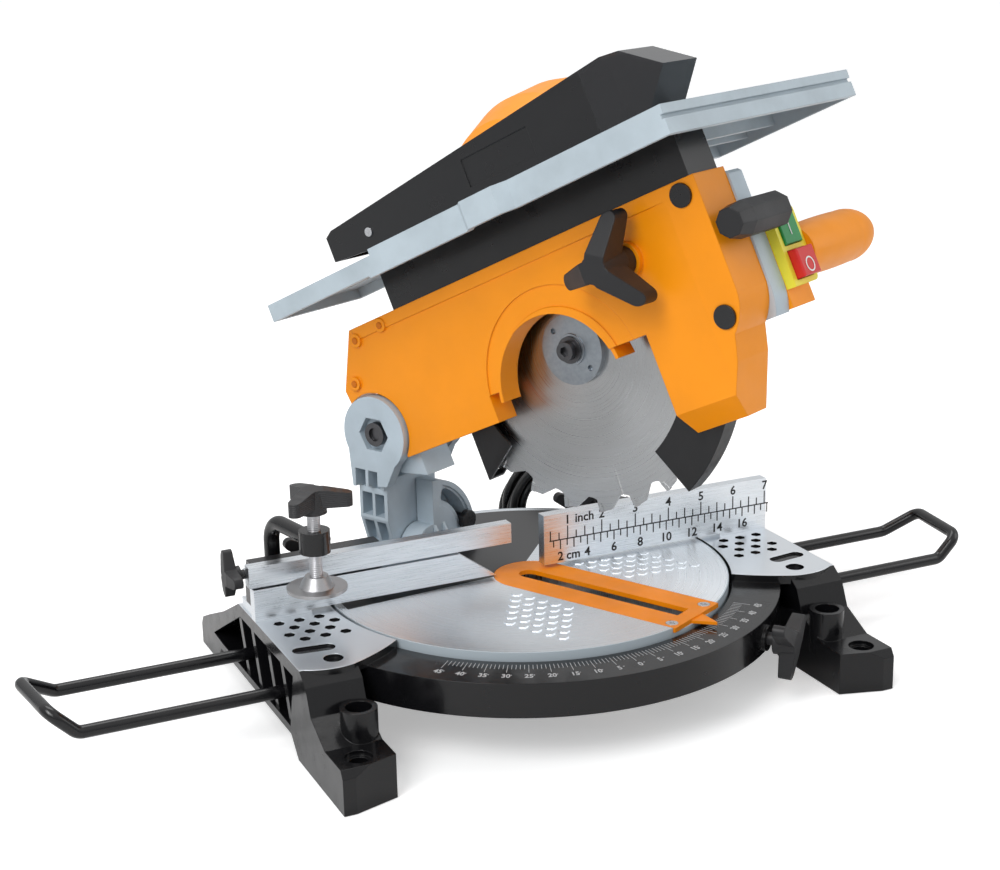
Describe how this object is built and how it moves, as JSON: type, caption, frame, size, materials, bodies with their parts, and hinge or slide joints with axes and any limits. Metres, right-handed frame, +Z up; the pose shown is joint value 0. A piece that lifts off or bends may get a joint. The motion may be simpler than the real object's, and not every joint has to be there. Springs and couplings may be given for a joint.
{
  "type": "mitre saw",
  "caption": "Bench mitre saw with a turntable, tilting head, upper saw table with hood, fences, hold-down clamp and support wires.",
  "frame": {"origin": "centre of the four bench bolt holes, on the bench plane", "axes": "+X to the user's right along the fence, +Y away from the user, +Z up"},
  "size_m": [0.6606, 0.4086, 0.4011],
  "materials": {
    "black_casting": "gloss black paint over a slightly rough casting",
    "scale_black": "smooth gloss black, white scale marks",
    "bare_aluminium": "machined with fine lines",
    "grey_casting": "light blue-grey paint, satin",
    "orange_plastic": "orange moulding, satin gloss",
    "orange_paint": "orange plate",
    "black_plastic": "black moulding, fine texture",
    "smoke_clear": "smoked clear plastic",
    "yellow_plastic": "yellow moulding",
    "green_plastic": "green moulding",
    "red_plastic": "red moulding",
    "blade_steel": "ground steel",
    "zinc_steel": "bright zinc plate",
    "guard_steel": "grey painted sheet",
    "copper_core": "laminated core with windings",
    "belt_rubber": "ribbed rubber",
    "cord_rubber": "smooth black sheath"
  },
  "bodies": {
    "base": {"base_casting": "black_casting", "fence_right": "bare_aluminium", "fence_left": "bare_aluminium", "fence_rail": "black_plastic", "fence_screws": "zinc_steel", "pivot_bolt": "zinc_steel", "cord_gland": "cord_rubber", "cord_lead": "cord_rubber", "cord_coil": "cord_rubber", "cord_tail": "cord_rubber", "mains_plug": "cord_rubber", "cord_tie": "black_plastic"},
    "sliding_fence": {"sliding_fence": "bare_aluminium"},
    "fence_end_knob": {"fence_end_knob": "black_plastic"},
    "fence_left_knob": {"fence_left_knob": "black_plastic"},
    "fence_right_knob": {"fence_right_knob": "black_plastic"},
    "mitre_lock_knob": {"mitre_lock_knob": "black_plastic"},
    "clamp_post": {"clamp_post": "zinc_steel"},
    "clamp_spindle": {"clamp_spindle": "black_plastic"},
    "clamp_foot": {"clamp_foot": "zinc_steel"},
    "right_support_wire": {"right_support_wire": "black_casting"},
    "left_support_wire": {"left_support_wire": "black_casting"},
    "turntable": {"turntable": "bare_aluminium", "kerf_plate": "orange_paint", "kerf_screws": "zinc_steel", "bevel_bracket": "grey_casting", "bevel_pivot_bolt": "zinc_steel"},
    "arm": {"bevel_arm": "grey_casting", "bevel_clamp_bolt": "zinc_steel", "hinge_bolt": "zinc_steel", "hinge_spring": "zinc_steel"},
    "bevel_lock_knob": {"bevel_lock_knob": "black_plastic"},
    "head": {"head_casting": "grey_casting", "blade_cover": "orange_plastic", "cover_plugs": "black_plastic", "cover_screws": "zinc_steel", "motor_cover": "orange_plastic", "motor_stator": "copper_core", "drive_belt": "belt_rubber", "bearings": "zinc_steel", "rear_guard": "guard_steel", "riving_knife": "blade_steel", "switch_box": "yellow_plastic", "handle": "orange_plastic"},
    "lower_guard": {"lower_guard": "guard_steel"},
    "spindle": {"arbor": "zinc_steel", "blade": "blade_steel", "outer_flange": "zinc_steel", "blade_bolt": "zinc_steel", "blade_pulley": "zinc_steel"},
    "rotor": {"motor_rotor": "copper_core", "motor_pulley": "zinc_steel"},
    "table": {"upper_table": "grey_casting", "table_skirt": "black_plastic"},
    "table_lock_knob": {"table_lock_knob": "black_plastic"},
    "hood": {"table_guard_hood": "black_plastic", "hood_window": "smoke_clear"},
    "head_lock_handle": {"head_lock_handle": "black_plastic"},
    "on_button": {"on_button": "green_plastic"},
    "off_button": {"off_button": "red_plastic"}
  },
  "joints": [
    {"name": "mitre", "type": "hinge", "parent": "base", "child": "turntable", "pos_m": [0, 0.0118, 0.061], "axis": [0, 0, 1], "range_deg": [-72.65, 17.35]},
    {"name": "mitre_lock", "type": "hinge", "parent": "base", "child": "mitre_lock_knob", "pos_m": [0.10774, -0.1261, 0.0435], "axis": [0.6157, -0.788, 0], "range_deg": [-180, 180]},
    {"name": "fence_slide", "type": "slide", "parent": "base", "child": "sliding_fence", "axis": [-1, 0, 0], "range_m": [0, 0.09]},
    {"name": "fence_end_lock", "type": "hinge", "parent": "sliding_fence", "child": "fence_end_knob", "pos_m": [-0.19, 0.0213, 0.09025], "axis": [-1, 0, 0], "range_deg": [-180, 180]},
    {"name": "fence_left_lock", "type": "hinge", "parent": "base", "child": "fence_left_knob", "pos_m": [-0.139, 0.0368, 0.09025], "axis": [0, 1, 0], "range_deg": [-180, 180]},
    {"name": "fence_right_lock", "type": "hinge", "parent": "base", "child": "fence_right_knob", "pos_m": [0.052, 0.0368, 0.09025], "axis": [0, 1, 0], "range_deg": [-180, 180]},
    {"name": "clamp_height", "type": "slide", "parent": "base", "child": "clamp_post", "axis": [0, 0, 1], "range_m": [-0.014, 0.006]},
    {"name": "clamp_travel", "type": "slide", "parent": "clamp_post", "child": "clamp_foot", "axis": [0, 0, 1], "range_m": [-0.00988, 0.012]},
    {"name": "clamp_turn", "type": "hinge", "parent": "clamp_foot", "child": "clamp_spindle", "pos_m": [-0.152, -0.0132, 0.117], "axis": [0, 0, 1], "range_deg": [-2845.44, 3456]},
    {"name": "right_wire_slide", "type": "slide", "parent": "base", "child": "right_support_wire", "axis": [-1, 0, 0], "range_m": [0, 0.08]},
    {"name": "left_wire_slide", "type": "slide", "parent": "base", "child": "left_support_wire", "axis": [1, 0, 0], "range_m": [0, 0.08]},
    {"name": "bevel", "type": "hinge", "parent": "turntable", "child": "arm", "pos_m": [-0.04409, 0.09595, 0.061], "axis": [-0.4641, 0.8858, 0], "range_deg": [-45, 0]},
    {"name": "bevel_lock", "type": "hinge", "parent": "arm", "child": "bevel_lock_knob", "pos_m": [-0.03029, 0.14834, 0.07217], "axis": [-0.4641, 0.8858, 0], "range_deg": [-60, 60]},
    {"name": "head_swing", "type": "hinge", "parent": "arm", "child": "head", "pos_m": [-0.04641, 0.10038, 0.1467], "axis": [0.8858, 0.4641, 0], "range_deg": [0, 25]},
    {"name": "guard_swing", "type": "hinge", "parent": "head", "child": "lower_guard", "pos_m": [0.01969, -0.02578, 0.21819], "axis": [0.8858, 0.4641, 0], "range_deg": [-30, 0]},
    {"name": "blade_spin", "type": "hinge", "parent": "head", "child": "spindle", "pos_m": [0.01969, -0.02578, 0.21819], "axis": [0.8858, 0.4641, 0], "continuous": true},
    {"name": "motor_spin", "type": "hinge", "parent": "head", "child": "rotor", "pos_m": [-0.0271, 0.06352, 0.29409], "axis": [0.8858, 0.4641, 0], "continuous": true},
    {"name": "table_height", "type": "slide", "parent": "head", "child": "table", "axis": [0.1961, -0.3744, -0.9063], "range_m": [0, 0.022]},
    {"name": "table_lock", "type": "hinge", "parent": "head", "child": "table_lock_knob", "pos_m": [0.01042, -0.09428, 0.28353], "axis": [-0.8858, -0.4641, 0], "range_deg": [-180, 180]},
    {"name": "hood_lift", "type": "hinge", "parent": "head", "child": "hood", "pos_m": [-0.05054, 0.10827, 0.27937], "axis": [-0.8858, -0.4641, 0], "range_deg": [0, 15]},
    {"name": "head_lock", "type": "slide", "parent": "head", "child": "head_lock_handle", "axis": [0.4206, -0.8028, 0.4226], "range_m": [0, 0.01], "stiffness_N_per_m": 400},
    {"name": "on_press", "type": "slide", "parent": "head", "child": "on_button", "axis": [-0.4206, 0.8028, -0.4226], "range_m": [0, 0.003], "stiffness_N_per_m": 300},
    {"name": "off_press", "type": "slide", "parent": "head", "child": "off_button", "axis": [-0.4206, 0.8028, -0.4226], "range_m": [0, 0.003], "stiffness_N_per_m": 300}
  ],
  "couplings": [
    {"joint": "guard_swing", "follows": "head_swing", "ratio": -1.2},
    {"joint": "blade_spin", "follows": "motor_spin", "ratio": 0.7},
    {"joint": "clamp_turn", "follows": "clamp_travel", "rad_per_m": 5026.5}
  ]
}
